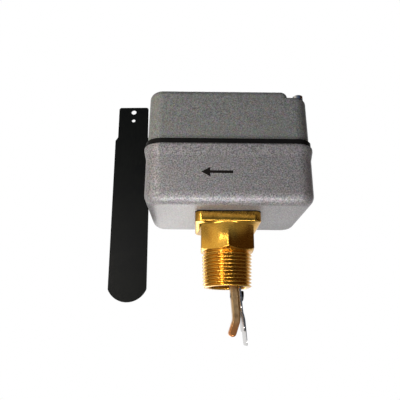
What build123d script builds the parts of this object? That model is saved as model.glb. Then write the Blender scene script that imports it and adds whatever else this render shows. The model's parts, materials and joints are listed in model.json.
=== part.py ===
"""Paddle flow switch: a lever with thin blades hangs through a brass pipe body into the flow.

Millimetres, +Z up. The origin is on the pipe thread's axis, at the shoulder under the hexagon.
The flow runs towards -X, so the lever's foot leans towards +X at rest and swings towards -X.
"""
from build123d import *
from math import cos, radians, tan
import os

# Brass body: R1 taper thread, hexagon, square flange and a spigot through the case floor
thread_length = 24.0
thread_diameter = 33.25
thread_chamfer = 1.2
hex_across_flats = 36.0
hex_height = 17.2
hex_turned_below_flats = 0.2
flange_side = 44.5
flange_height = 6.6
flange_corner = 5.0
flange_edge = 0.8
spigot_diameter = 30.0
bore_diameter = 25.0
bore_mouth_chamfer = 1.0
bellows_seat_diameter = 22.0
bellows_seat_depth = 1.5
bellows_neck_diameter = 20.6

# Case: cast lower half, gasket and cover
flange_gasket_thickness = 0.8
case_width = 111.2
case_depth = 78.0
case_corner = 11.0
case_height = 41.0
case_wall = 3.0
case_floor = 3.5
case_floor_edge = 7.5
case_inner_edge = 3.0
rim_end_stand_out = 1.4
rim_side_stand_out = 0.6
rim_height = 2.6
rim_swell_height = 6.4
rim_edge = 1.2
gasket_thickness = 4.0
gasket_stand_out = 1.2
gasket_width = 4.2
cover_inset = 0.75
cover_height = 37.2
cover_wall = 2.5
cover_draft = 0.6
cover_top_edge = 4.5
cover_step_edge = 2.5
cover_step_depth = 5.0
cover_step_side = 13.4
cover_step_corner = 5.0

# Cover screws, on one diagonal
cover_screw_inset = 6.2
cover_screw_diameter = 4.0
cover_screw_length = 48.0
cover_screw_head = 7.4
cover_screw_head_height = 3.2
cover_column_diameter = 10.8
cover_screw_hole_slack = 0.6
tapped_depth_spare = 1.5

# Conduit entry in the right end wall
conduit_diameter = 20.0
conduit_boss_diameter = 28.0
conduit_boss_length = 5.0
conduit_height = 21.0

# Lever: pivot, round rod, flattened bar and bent-back foot
pivot_height = 34.5
pivot_diameter = 4.0
lever_lean = 4.3
hub_diameter = 9.0
hub_length = 15.4
rod_diameter = 7.0
rod_end = 31.0
bar_start = 39.0
bar_thickness = 5.0
bar_width = 10.0
bar_edge = 0.8
bar_straight = 77.0
foot_bend = 23.3
foot_bend_radius = 12.0
foot_length = 9.0
pad_length = 14.0
pad_width = 10.0

# Blades on the lever's upstream face
blade_thickness = 0.4
blade_width = 24.0
blade_corner = 4.0
blade_top = 59.9
blade_hole_offset = 4.4
blade_hole_pitch = 8.0
blade_screw_diameter = 4.0
blade_screw_length = 6.4
blade_screw_head = 6.8
blade_screw_head_height = 2.3
blade_pin_diameter = 2.8
blade_pin_length = 4.0
blade_pin_stand_out = 0.3
blade_hole_slack = 0.2
short_blade_length = 14.6
medium_blade_length = 27.5
long_blade_length = 36.2
blade_set_start = 13.0
blade_set_run = 9.0
medium_blade_set = 0.3
long_blade_set = 0.9

# Spare blade, standing by itself beside the case
spare_length = 163.0
spare_width = 29.0
spare_shank_width = 25.0
spare_shank_length = 28.0
spare_shoulder = 3.0
spare_top_corner = 2.0
spare_tip_corner = 3.0
spare_tip_height = 9.6
spare_thickness = 1.0
spare_lean = 1.2
spare_beside_case = 20.4
spare_top_z = 130.9
spare_y = 30.0

# Mounting plate and pivot cheeks
plate_thickness = 2.0
plate_beyond_spring = 9.0
plate_beyond_foot = 1.0
plate_half_depth = 26.0
plate_corner = 3.0
plate_opening = 17.0
cheek_thickness = 2.0
cheek_gap = 16.0
cheek_half_width = 6.5
cheek_top_radius = 5.0
rest_stop_beside_spring = 10.0
rest_stop_thickness = 2.0
rest_stop_width = 7.0
rest_stop_gap = 0.3
flange_screw_edge = 5.25
flange_screw_diameter = 5.0
flange_screw_length = 10.0
flange_screw_head = 8.4
flange_screw_head_height = 3.0
plain_hole_slack = 0.5
clip_diameter = 8.0
clip_thickness = 0.8
clip_seat = 0.2

# Sealing bellows round the lever
bellows_rim_thickness = 1.3
bellows_outer = 17.0
bellows_inner = 12.0
bellows_wall = 0.6
bellows_top = 9.2
bellows_throat = 3.0
bellows_folds = 7
bellows_fold_pitch = 2.4
bellows_collar_length = 3.0
bellows_collar_diameter = 10.0
bellows_collar_slack = 0.05

# Switch lever on the hub, with striker and spring arm
lever_plate_thickness = 2.0
lever_plate_width = 10.0
striker_x = 2.0
striker_height = 9.5
spring_arm_beyond = 5.5
lever_screw_diameter = 3.0
lever_screw_head = 5.5
lever_screw_head_height = 1.8
lever_screw_length = 5.0
lever_screw_x = (-6.5, -11.5)

# Range spring, screw, nut and bridge
bridge_beside_screws = 0.8
spring_wire = 1.0
spring_outer = 9.0
spring_turns = 6.0
spring_seat_gap = 0.1
range_gap = 15.0
nut_thickness = 5.0
nut_length = 12.0
nut_side_gap = 0.2
range_screw_diameter = 4.0
range_screw_head = 8.0
range_screw_head_height = 3.2
range_screw_below_arm = 1.6
range_thread_slack = 0.05
bridge_width = 12.0
bridge_half_gap = 10.0
bridge_thickness = 2.0
bridge_clear = 3.0
bridge_foot = 9.0
bridge_screw_diameter = 3.0
bridge_screw_head = 5.5
bridge_screw_head_height = 2.0
bridge_screw_length = 4.0
arm_slot_length = 9.5
arm_slot_width = 5.6

# Snap switch, on a bracket beside the lever
switch_front = 9.0
switch_depth = 16.0
switch_length = 49.0
switch_thickness = 17.4
switch_height = 46.0
switch_edge = 1.2
switch_collar_diameter = 9.0
switch_collar_length = 1.6
plunger_diameter = 4.0
plunger_gap = 0.3
plunger_depth = 9.0
plunger_slack = 0.05
plunger_travel = 2.5
plunger_end_gap = 0.5
switch_hole_spacing = 25.4
switch_screw_diameter = 4.0
switch_screw_head = 7.0
switch_screw_head_height = 2.6
terminal_spacing = 17.0
terminal_width = 8.0
terminal_thickness = 1.2
terminal_reach = 8.0
terminal_lug_above = 3.5
terminal_lug_below = 8.5
terminal_post_width = 9.6
terminal_post_above = 3.0
terminal_post_below = 5.0
terminal_screw_diameter = 3.5
terminal_screw_head = 6.4
terminal_screw_head_height = 2.2
terminal_screw_length = 5.0
bracket_thickness = 2.0
bracket_width = 40.0
bracket_shelf_inset = 1.0
bracket_beside_screws = 1.8
bracket_foot_length = 13.0
bracket_screw_inset = 6.5
bracket_screw_diameter = 4.0
bracket_screw_head = 7.0
bracket_screw_head_height = 2.4
bracket_screw_length = 4.0

# Earth terminal on a boss in the case floor
earth_from_end_wall = 8.6
earth_from_front_wall = 4.6
earth_boss_diameter = 10.0
earth_boss_height = 5.0
earth_screw_diameter = 4.0
earth_screw_head = 7.6
earth_screw_head_height = 2.6
earth_screw_length = 7.0
earth_washer_diameter = 9.0
earth_washer_thickness = 1.0

screw_slot_width = 1.2
screw_slot_depth = 1.2
head_edge = 0.5
tapped_slack = 0.05

# Levels and centres that follow from the sizes above
flange_bottom = hex_height
flange_top = flange_bottom + flange_height
floor_bottom = flange_top + flange_gasket_thickness
floor_top = floor_bottom + case_floor
rim_top = floor_bottom + case_height
cover_bottom = rim_top + gasket_thickness
cover_top = cover_bottom + cover_height
cover_step_top = cover_top - cover_step_depth
plate_top = floor_top + plate_thickness
cover_width = case_width - 2 * cover_inset
cover_depth = case_depth - 2 * cover_inset
cover_corner = case_corner - cover_inset
screw_x = cover_width / 2 - cover_screw_inset
screw_y = cover_depth / 2 - cover_screw_inset
cover_screw_places = [(screw_x, -screw_y), (-screw_x, screw_y)]
lever_plate_bottom = pivot_height + hub_diameter / 2
lever_plate_top = lever_plate_bottom + lever_plate_thickness
nut_bottom = lever_plate_top + range_gap
nut_top = nut_bottom + nut_thickness
bridge_bottom = nut_top + bridge_clear
bridge_top = bridge_bottom + bridge_thickness
switch_bottom = switch_height - switch_thickness / 2
switch_top = switch_height + switch_thickness / 2
bracket_top = switch_bottom
foot_top = plate_top + bracket_thickness
bridge_foot_top = plate_top + bridge_thickness
conduit_z = floor_bottom + conduit_height
flange_screw_spacing = flange_side - 2 * flange_screw_edge
flange_heads_reach = (flange_screw_spacing + flange_screw_head) / 2
spring_x = -flange_heads_reach - bridge_beside_screws - bridge_width / 2
spring_arm_end = spring_x - spring_arm_beyond
rest_stop_x = spring_x + rest_stop_beside_spring
plate_left = spring_x - plate_beyond_spring
switch_back = switch_front + switch_depth
switch_screw_x = (switch_front + switch_back) / 2
terminal_face = switch_back + terminal_reach
riser_front = flange_heads_reach + bracket_beside_screws
riser_back = riser_front + bracket_thickness
bracket_foot_end = riser_back + bracket_foot_length
bracket_screw_x = bracket_foot_end - bracket_screw_inset
plate_right = bracket_foot_end + plate_beyond_foot
earth_x = earth_from_end_wall + case_wall - case_width / 2
earth_y = earth_from_front_wall + case_wall - case_depth / 2
spare_top_x = -case_width / 2 - spare_beside_case
rim_width = case_width + 2 * rim_end_stand_out
rim_depth = case_depth + 2 * rim_side_stand_out
rim_corner = case_corner + rim_side_stand_out
flange_screw_places = [
    (sx * flange_screw_spacing / 2, sy * flange_screw_spacing / 2) for sx in (-1, 1) for sy in (-1, 1)
]
leaning = Location((0, 0, pivot_height), (0, -lever_lean, 0))


def cylinder_z(diameter, low, high, x=0.0, y=0.0):
    """Upright cylinder between two levels."""
    return Pos(x, y, low) * extrude(Circle(diameter / 2), high - low)


def cylinder_x(diameter, low, high, y=0.0, z=0.0):
    """Cylinder along X between two places."""
    return Plane.YZ.offset(low) * Pos(y, z) * extrude(Circle(diameter / 2), high - low)


def cylinder_y(diameter, low, high, x=0.0, z=0.0):
    """Cylinder along Y between two places."""
    return Pos(x, low, z) * Rot(-90, 0, 0) * extrude(Circle(diameter / 2), high - low)


def block(x, y, z):
    """Box between two corners, each given as (low, high)."""
    size = Box(x[1] - x[0], y[1] - y[0], z[1] - z[0])
    return Pos((x[0] + x[1]) / 2, (y[0] + y[1]) / 2, (z[0] + z[1]) / 2) * size


def upright_edges(part):
    """The edges of a part that run along Z."""
    return part.edges().filter_by(Axis.Z)


def tapped_diameter(screw):
    """Bore of the plain hole that stands for a tapped one."""
    return screw + 2 * tapped_slack


def slotted_screw(diameter, length, head, head_height, turn=0.0):
    """Pan-head screw with a slot: head on +Z, underside at z = 0, shank downwards."""
    shank = cylinder_z(diameter, -length, 0)
    shank = chamfer(shank.edges().sort_by(Axis.Z)[0], diameter * 0.12)
    top = cylinder_z(head, 0, head_height)
    top = fillet(top.edges().sort_by(Axis.Z)[-1], head_edge)
    slot = block(
        (-head, head),
        (-screw_slot_width / 2, screw_slot_width / 2),
        (head_height - screw_slot_depth, head_height + 1),
    )
    return shank + (top - Rot(0, 0, turn) * slot)


def screws_at(places, level, diameter, length, head, head_height, turn=0.0):
    """The same screw at several places, with the heads' undersides at one level."""
    one = slotted_screw(diameter, length, head, head_height, turn)
    return Compound([Pos(x, y, level) * one for x, y in places])


def case_plan(width, depth, corner):
    """Rounded rectangle of the housing's plan."""
    return RectangleRounded(width, depth, corner)


def make_brass_body():
    """Bored pipe body: thread, hexagon with a corner to the front, square flange, spigot."""
    thread = cylinder_z(thread_diameter, -thread_length, 0)
    thread = chamfer(thread.edges().sort_by(Axis.Z)[0], thread_chamfer)
    across_corners = hex_across_flats / cos(radians(30))
    hexagon = extrude(RegularPolygon(across_corners / 2, 6, rotation=30), flange_bottom)
    cone_radius = hex_across_flats / 2 - hex_turned_below_flats
    rise = (across_corners / 2 + 1 - cone_radius) * tan(radians(30))
    turned = Cone(cone_radius, cone_radius + rise / tan(radians(30)), rise)
    turned = Pos(0, 0, rise / 2) * turned + cylinder_z(across_corners + 2, rise, flange_bottom)
    hexagon = hexagon & turned
    flange = Pos(0, 0, flange_bottom) * extrude(
        RectangleRounded(flange_side, flange_side, flange_corner), flange_height
    )
    flange = chamfer(flange.edges().group_by(Axis.Z)[0], flange_edge)
    spigot = cylinder_z(spigot_diameter, flange_top, floor_top)
    body = thread + hexagon + flange + spigot
    bore = cylinder_z(bore_diameter, -thread_length - 1, floor_top - bellows_seat_depth - 2)
    mouth = Pos(0, 0, -thread_length + bore_mouth_chamfer / 2 - 0.001) * Cone(
        bore_diameter / 2 + bore_mouth_chamfer, bore_diameter / 2, bore_mouth_chamfer
    )
    neck = cylinder_z(bellows_neck_diameter, 0, floor_top)
    seat = cylinder_z(bellows_seat_diameter, floor_top - bellows_seat_depth, floor_top + 1)
    body = body - bore - mouth - neck - seat
    for x, y in flange_screw_places:
        tapped = flange_screw_length - plate_thickness - case_floor - flange_gasket_thickness
        depth = min(tapped + tapped_depth_spare, flange_height - 1)
        body -= cylinder_z(tapped_diameter(flange_screw_diameter), flange_top - depth, flange_top + 1, x, y)
    return body


def make_flange_gasket():
    """Thin sheet between flange and case floor, cut out for the spigot and the screws."""
    sheet = Pos(0, 0, flange_top) * extrude(
        RectangleRounded(flange_side, flange_side, flange_corner), flange_gasket_thickness
    )
    sheet -= cylinder_z(spigot_diameter + plain_hole_slack, flange_top - 1, floor_bottom + 1)
    for x, y in flange_screw_places:
        sheet -= cylinder_z(flange_screw_diameter + plain_hole_slack, flange_top - 1, floor_bottom + 1, x, y)
    return sheet


def make_lower_case():
    """Cast shell with a beaded rim, two screw bosses, the conduit entry and the earth boss."""
    shell = Pos(0, 0, floor_bottom) * extrude(case_plan(case_width, case_depth, case_corner), case_height)
    shell = fillet(shell.edges().group_by(Axis.Z)[0], case_floor_edge)
    bead = Pos(0, 0, rim_top - rim_height) * extrude(case_plan(rim_width, rim_depth, rim_corner), rim_height)
    bead = fillet(bead.edges().group_by(Axis.Z)[-1], rim_edge)
    swell_level = rim_top - rim_height - rim_swell_height
    bead += loft([
        Pos(0, 0, swell_level) * case_plan(case_width, case_depth, case_corner),
        Pos(0, 0, rim_top - rim_height) * case_plan(rim_width, rim_depth, rim_corner),
    ])
    hollow = Pos(0, 0, floor_top) * extrude(
        case_plan(case_width - 2 * case_wall, case_depth - 2 * case_wall, case_corner - case_wall),
        case_height,
    )
    hollow = fillet(hollow.edges().group_by(Axis.Z)[0], case_inner_edge)
    for x, y in cover_screw_places:
        hollow -= cylinder_z(cover_column_diameter, floor_bottom, rim_top + 1, x, y)
    entry_inside = case_width / 2 - case_wall - conduit_boss_length
    hollow -= cylinder_x(conduit_boss_diameter, entry_inside, case_width / 2, z=conduit_z)
    hollow -= cylinder_z(earth_boss_diameter, floor_bottom, floor_top + earth_boss_height, earth_x, earth_y)
    case = shell + bead - hollow
    case -= cylinder_z(spigot_diameter + plain_hole_slack, floor_bottom - 1, floor_top + 1)
    for x, y in flange_screw_places:
        case -= cylinder_z(flange_screw_diameter + plain_hole_slack, floor_bottom - 1, floor_top + 1, x, y)
    screw_end = cover_step_top - cover_screw_length
    for x, y in cover_screw_places:
        case -= cylinder_z(
            tapped_diameter(cover_screw_diameter), screw_end - tapped_depth_spare, rim_top + 1, x, y
        )
    case -= cylinder_x(conduit_diameter, entry_inside - 1, case_width / 2 + 1, z=conduit_z)
    earth_top = floor_top + earth_boss_height
    earth_end = earth_top + earth_washer_thickness - earth_screw_length
    case -= cylinder_z(
        tapped_diameter(earth_screw_diameter), earth_end - tapped_depth_spare, earth_top + 1, earth_x, earth_y
    )
    return case


def make_cover_gasket():
    """Rubber ring on the rim, with an eye round each cover screw."""
    width = cover_width + 2 * gasket_stand_out
    depth = cover_depth + 2 * gasket_stand_out
    outline = case_plan(width, depth, cover_corner + gasket_stand_out)
    inner = case_plan(width - 2 * gasket_width, depth - 2 * gasket_width, cover_corner - gasket_width)
    ring = outline - inner
    for x, y in cover_screw_places:
        ring += outline & (Pos(x, y) * Circle(cover_column_diameter / 2))
    for x, y in cover_screw_places:
        ring -= Pos(x, y) * Circle((cover_screw_diameter + cover_screw_hole_slack) / 2)
    return Pos(0, 0, rim_top) * extrude(ring, gasket_thickness)


def stepped_plan(width, depth, corner, step):
    """The cover's plan above its steps: two diagonal corners are cut back."""
    plan = case_plan(width, depth, corner)
    reach = 2 * step
    for side in (1, -1):
        centre = (side * (width / 2 - step + reach / 2), -side * (depth / 2 - step + reach / 2))
        plan -= Pos(*centre) * Rectangle(reach, reach)
    cut_corners = [
        v for v in plan.vertices()
        if v.X * v.Y < 0 and abs(v.X) > width / 2 - step - 0.1 and abs(v.Y) > depth / 2 - step - 0.1
    ]
    return fillet(cut_corners, cover_step_corner)


def stepped_block(width, depth, corner, height):
    """Drafted block on the stepped plan, narrower at the top."""
    inset = height * tan(radians(cover_draft))
    foot = stepped_plan(width, depth, corner, cover_step_side)
    head = stepped_plan(width - 2 * inset, depth - 2 * inset, corner - inset, cover_step_side)
    return loft([foot, Pos(0, 0, height) * head], ruled=True)


def make_top_cover():
    """Deep cast cover with drafted walls, two stepped corners and a column for each screw."""
    full = extrude(case_plan(cover_width, cover_depth, cover_corner), cover_height, taper=cover_draft)
    step_level = cover_height - cover_step_depth
    low = full & block((-cover_width, cover_width), (-cover_depth, cover_depth), (0, step_level))
    low = fillet(low.edges().group_by(Axis.Z)[-1], cover_step_edge)
    high = stepped_block(cover_width, cover_depth, cover_corner, cover_height)
    high = fillet(high.edges().group_by(Axis.Z)[-1], cover_top_edge)
    inner_width, inner_depth = cover_width - 2 * cover_wall, cover_depth - 2 * cover_wall
    inner_corner = cover_corner - cover_wall
    inside = case_plan(inner_width, inner_depth, inner_corner)
    hollow = extrude(inside, step_level - cover_wall, taper=cover_draft)
    hollow += stepped_block(inner_width, inner_depth, inner_corner, cover_height - cover_wall)
    for x, y in cover_screw_places:
        hollow -= cylinder_z(cover_column_diameter, -1, cover_height, x, y)
    cover = low + high - hollow
    for x, y in cover_screw_places:
        cover -= cylinder_z(cover_screw_diameter + cover_screw_hole_slack, -1, cover_height, x, y)
    return Pos(0, 0, cover_bottom) * cover


def make_cover_screws():
    """Two long screws whose heads sit on the cover's steps."""
    return screws_at(
        cover_screw_places, cover_step_top, cover_screw_diameter, cover_screw_length,
        cover_screw_head, cover_screw_head_height, turn=35,
    )


def make_pivot_bracket():
    """Mounting plate with two cheeks for the pivot and an upturned tab that stops the lever."""
    plate = block((plate_left, plate_right), (-plate_half_depth, plate_half_depth), (floor_top, plate_top))
    plate = fillet(upright_edges(plate), plate_corner)
    plate -= cylinder_z(plate_opening, floor_top - 1, plate_top + 1)
    for x, y in flange_screw_places:
        plate -= cylinder_z(flange_screw_diameter + plain_hole_slack, floor_top - 1, plate_top + 1, x, y)
    cheek = block(
        (-cheek_half_width, cheek_half_width),
        (cheek_gap / 2, cheek_gap / 2 + cheek_thickness),
        (floor_top + plate_thickness / 2, pivot_height),
    )
    cheek += cylinder_y(2 * cheek_top_radius, cheek_gap / 2, cheek_gap / 2 + cheek_thickness, z=pivot_height)
    plate += cheek + mirror(cheek, Plane.XZ)
    plate -= cylinder_y(pivot_diameter + 0.04, -plate_half_depth, plate_half_depth, z=pivot_height)
    tab_half = rest_stop_width / 2
    plate += block(
        (rest_stop_x - rest_stop_thickness, rest_stop_x),
        (-tab_half, tab_half),
        (floor_top + plate_thickness / 2, lever_plate_bottom - rest_stop_gap),
    )
    for y in bridge_screw_places():
        plate -= cylinder_z(tapped_diameter(bridge_screw_diameter), floor_top - 1, plate_top + 1, spring_x, y)
    for x, y in bracket_screw_places():
        plate -= cylinder_z(tapped_diameter(bracket_screw_diameter), floor_top - 1, plate_top + 1, x, y)
    return plate


def make_flange_screws():
    """Four screws through plate, floor and gasket into the brass flange."""
    return screws_at(
        flange_screw_places, plate_top, flange_screw_diameter, flange_screw_length,
        flange_screw_head, flange_screw_head_height, turn=20,
    )


def make_pivot_pin():
    """Plain pin through the cheeks and the lever's hub."""
    half = cheek_gap / 2 + cheek_thickness + clip_seat + clip_thickness + 0.8
    pin = cylinder_y(pivot_diameter, -half, half, z=pivot_height)
    return chamfer(pin.edges().filter_by(GeomType.CIRCLE), 0.4)


def make_pivot_clips():
    """Two open retaining rings on the pin, outside the cheeks."""
    near = cheek_gap / 2 + cheek_thickness + clip_seat / 2
    ring = cylinder_y(clip_diameter, near, near + clip_thickness, z=pivot_height)
    ring -= cylinder_y(pivot_diameter + 0.04, near - 1, near + 2, z=pivot_height)
    ring -= block((-0.9, 0.9), (near - 1, near + 2), (pivot_height, pivot_height + clip_diameter))
    return Compound([ring, mirror(ring, Plane.XZ)])


def lever_side_outline():
    """Side view of the bar and its bent-back foot, with the end rounded."""
    straight = Line((0, -bar_start), (0, -bar_straight))
    bend = JernArc(straight @ 1, straight % 1, foot_bend_radius, -foot_bend)
    foot = Line(bend @ 1, bend @ 1 + (bend % 1) * (foot_length - bar_thickness / 2))
    path = (Curve() + [straight, bend, foot]).wires()[0]
    return make_face(path.offset_2d(bar_thickness / 2, kind=Kind.ARC, side=Side.BOTH, closed=True))


def make_paddle_lever():
    """Brass lever: bored hub with a pad on top, round rod, flattened bar, foot bent downstream."""
    bar = extrude(Plane.XZ * lever_side_outline(), bar_width / 2, both=True)
    bar = chamfer(bar.edges().group_by(Axis.Y)[0] + bar.edges().group_by(Axis.Y)[-1], bar_edge)
    rod = cylinder_z(rod_diameter, -rod_end, 0)
    top_section = Plane.XY.offset(-rod_end) * Circle(rod_diameter / 2)
    bar_section = Rectangle(bar_thickness, bar_width)
    bar_section = chamfer(bar_section.vertices(), bar_edge)
    shoulder = loft([Plane.XY.offset(-bar_start) * bar_section, top_section])
    stem = leaning * (rod + shoulder + bar)
    hub = cylinder_y(hub_diameter, -hub_length / 2, hub_length / 2, z=pivot_height)
    pad = block(
        (-pad_length, hub_diameter / 2 - 0.5),
        (-pad_width / 2, pad_width / 2),
        (pivot_height - 0.5, lever_plate_bottom),
    )
    lever = stem + hub + pad
    lever -= cylinder_y(pivot_diameter + 0.1, -hub_length, hub_length, z=pivot_height)
    for x in lever_screw_x:
        low, high = pivot_height - 1, lever_plate_bottom + 1
        lever -= cylinder_z(tapped_diameter(lever_screw_diameter), low, high, x)
    face = bar_thickness / 2
    screw_level = blade_hole_level()
    pin_level = screw_level - blade_hole_pitch
    lever -= leaning * cylinder_x(tapped_diameter(blade_screw_diameter), -face - 1, face + 1, z=screw_level)
    pin_end = face + 3 * blade_thickness - blade_pin_length
    lever -= leaning * cylinder_x(
        tapped_diameter(blade_pin_diameter), pin_end - tapped_slack, face + 1, z=pin_level
    )
    return lever


def blade_hole_level():
    """Height of the blades' upper hole in the lever's own frame."""
    return -blade_top - blade_hole_offset


def blade_holes():
    """The screw hole and the smaller pin hole below it, from the top of a blade."""
    screw_hole = Circle((blade_screw_diameter + blade_hole_slack) / 2)
    pin_hole = Circle((blade_pin_diameter + blade_hole_slack) / 2)
    return Pos(0, -blade_hole_offset) * screw_hole + Pos(0, -blade_hole_offset - blade_hole_pitch) * pin_hole


def blade_outline(width, length, corner):
    """Front view of a short blade: square at the top, rounded below, with its two holes."""
    plan = Pos(0, -length / 2) * Rectangle(width, length)
    plan = fillet(plan.vertices().group_by(Axis.Y)[0], corner)
    return plan - blade_holes()


def blade_side(length, seat, stand_off):
    """Side view of a blade: flat on its seat, then set off upstream by a shallow S bend."""
    first = (seat, 0)
    start = (seat, -blade_set_start)
    end = (seat + stand_off, -blade_set_start - blade_set_run)
    last = (seat + stand_off, -length)
    middle = -blade_set_start - blade_set_run / 2
    bend = Bezier(start, (seat, middle), (seat + stand_off, middle), end)
    path = (Curve() + [Line(first, start), bend, Line(end, last)]).wires()[0]
    other = path.moved(Location((blade_thickness, 0, 0)))
    closing = [Line(path @ 0, other @ 0), Line(path @ 1, other @ 1)]
    return make_face(path.edges() + other.edges() + closing)


def make_blade(length, layer, stand_off=0.0):
    """One thin blade of the stack on the lever's upstream face."""
    seat = bar_thickness / 2 + layer * blade_thickness
    front = Plane.YZ.offset(seat - blade_thickness) * blade_outline(blade_width, length, blade_corner)
    plate = extrude(front, stand_off + 3 * blade_thickness)
    if stand_off:
        side = extrude(Plane.XZ * blade_side(length, seat, stand_off), blade_width, both=True)
    else:
        side = block((seat, seat + blade_thickness), (-blade_width, blade_width), (-2 * length, 0))
    return leaning * Pos(0, 0, -blade_top) * (plate & side)


def make_paddle_screw():
    """Screw that clamps the three blades to the bar, head upstream."""
    screw = slotted_screw(blade_screw_diameter, blade_screw_length, blade_screw_head, blade_screw_head_height)
    seat = bar_thickness / 2 + 3 * blade_thickness
    return leaning * Pos(seat, 0, blade_hole_level()) * Rot(0, 90, 0) * screw


def make_paddle_pin():
    """Locating pin in the blades' lower hole."""
    seat = bar_thickness / 2 + 3 * blade_thickness
    level = blade_hole_level() - blade_hole_pitch
    pin = cylinder_x(blade_pin_diameter, seat - blade_pin_length, seat + blade_pin_stand_out, z=level)
    return leaning * pin


def make_spare_paddle():
    """Long spare blade: narrow shank with two holes, square shoulders, shallow curved tip."""
    half = spare_width / 2
    shank = spare_shank_width / 2
    tip_start = -spare_length + spare_tip_height
    outline = Polyline(
        (-half, tip_start), (-half, -spare_shank_length - spare_shoulder),
        (-shank, -spare_shank_length), (-shank, 0), (shank, 0), (shank, -spare_shank_length),
        (half, -spare_shank_length - spare_shoulder), (half, tip_start),
    )
    tip = ThreePointArc((half, tip_start), (0, -spare_length), (-half, tip_start))
    blade = make_face(Wire(outline.edges() + [tip]))
    top = blade.vertices().group_by(Axis.Y)[-1]
    blade = fillet(top, spare_top_corner)
    ends = [v for v in blade.vertices() if abs(v.Y - tip_start) < 0.01]
    blade = fillet(ends, spare_tip_corner)
    plate = extrude(blade - blade_holes(), spare_thickness / 2, both=True)
    return Location((spare_top_x, spare_y, spare_top_z), (0, -spare_lean, 0)) * Rot(90, 0, 0) * plate


def make_sealing_bellows():
    """Corrugated metal seal: rim clamped under the plate, folds, collar on the lever's rod."""
    rim_top_level = floor_top
    rim_low = rim_top_level - bellows_rim_thickness
    rim = cylinder_z(bellows_seat_diameter - 0.3, rim_low, rim_top_level)
    rim -= cylinder_z(bellows_inner, rim_low - 1, rim_top_level + 1)
    inner = bellows_inner / 2
    outer = bellows_outer / 2
    points = [(inner, -bellows_top + bellows_throat), (inner, -bellows_top)]
    for fold in range(bellows_folds):
        top = -bellows_top - fold * bellows_fold_pitch
        points += [(outer, top - bellows_fold_pitch / 2), (inner, top - bellows_fold_pitch)]
    bottom = -bellows_top - bellows_folds * bellows_fold_pitch
    collar = bellows_collar_diameter / 2
    points += [(collar, bottom - bellows_wall), (collar, bottom - bellows_collar_length)]
    outside = [(r + bellows_wall, z) for r, z in points]
    bore = rod_diameter / 2 + bellows_collar_slack
    inside = list(points[:-2])
    inside += [(bore, bottom - bellows_wall), (bore, bottom - bellows_collar_length)]
    section = make_face(Polyline(*outside, *reversed(inside), close=True))
    folds = revolve(Plane.XZ * section, Axis.Z)
    return rim + leaning * folds


def make_switch_lever():
    """Bent plate on the hub: spring arm to the left, upturned striker at the right."""
    half = lever_plate_width / 2
    front = striker_x + lever_plate_thickness
    plate = block((spring_arm_end, front), (-half, half), (lever_plate_bottom, lever_plate_top))
    striker = block((striker_x, front), (-half, half), (lever_plate_bottom, lever_plate_top + striker_height))
    lever = plate + striker
    outer_corner = lever.edges().filter_by(Axis.Y).group_by(Axis.Z)[0].sort_by(Axis.X)[-1]
    lever = fillet(outer_corner, lever_plate_thickness * 0.9)
    slot = SlotOverall(arm_slot_length, arm_slot_width)
    lever -= Pos(spring_x, 0, lever_plate_bottom - 1) * extrude(slot, lever_plate_thickness + 2)
    for x in lever_screw_x:
        lever -= cylinder_z(
            lever_screw_diameter + plain_hole_slack, lever_plate_bottom - 1, lever_plate_top + 1, x
        )
    return lever


def make_lever_screws():
    """Two small screws that hold the switch lever on the hub's pad."""
    places = [(x, 0) for x in lever_screw_x]
    return screws_at(
        places, lever_plate_top, lever_screw_diameter, lever_screw_length,
        lever_screw_head, lever_screw_head_height, turn=60,
    )


def make_spring_bridge():
    """Inverted U with two feet: carries the range screw and guides its nut."""
    half = bridge_width / 2
    xs = (spring_x - half, spring_x + half)
    inner = bridge_half_gap
    outer = bridge_half_gap + bridge_thickness
    leg = block(xs, (inner, outer), (plate_top, bridge_top))
    foot = block(xs, (inner, outer + bridge_foot), (plate_top, bridge_foot_top))
    side = leg + foot
    bridge = side + mirror(side, Plane.XZ) + block(xs, (-outer, outer), (bridge_bottom, bridge_top))
    top_edges = bridge.edges().filter_by(Axis.X).group_by(Axis.Z)[-1]
    bridge = fillet(top_edges, bridge_thickness * 0.9)
    screw_hole = range_screw_diameter + 2 * range_thread_slack
    bridge -= cylinder_z(screw_hole, bridge_bottom - 1, bridge_top + 1, spring_x)
    for y in bridge_screw_places():
        bridge -= cylinder_z(
            bridge_screw_diameter + plain_hole_slack, plate_top - 1, bridge_foot_top + 1, spring_x, y
        )
    return bridge


def bridge_screw_places():
    """The two screws' places across the bridge."""
    y = bridge_half_gap + bridge_thickness + bridge_foot / 2
    return (-y, y)


def make_bridge_screws():
    """Two screws through the bridge's feet."""
    places = [(spring_x, y) for y in bridge_screw_places()]
    return screws_at(
        places, bridge_foot_top, bridge_screw_diameter, bridge_screw_length,
        bridge_screw_head, bridge_screw_head_height, turn=10,
    )


def make_range_spring():
    """Compression spring between the lever's arm and the nut."""
    low = lever_plate_top + spring_seat_gap + spring_wire / 2
    high = nut_bottom - spring_seat_gap - spring_wire / 2
    radius = (spring_outer - spring_wire) / 2
    path = Helix((high - low) / spring_turns, high - low, radius)
    section = Plane(path @ 0, z_dir=path % 0) * Circle(spring_wire / 2)
    return Pos(spring_x, 0, low) * sweep(section, path, is_frenet=True)


def make_range_nut():
    """Block that rides up and down on the range screw between the bridge's legs."""
    half = nut_length / 2
    side = bridge_half_gap - nut_side_gap
    nut = block((spring_x - half, spring_x + half), (-side, side), (nut_bottom, nut_top))
    nut = chamfer(upright_edges(nut), 0.8)
    return nut - cylinder_z(
        range_screw_diameter + 2 * range_thread_slack, nut_bottom - 1, nut_top + 1, spring_x
    )


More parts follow.
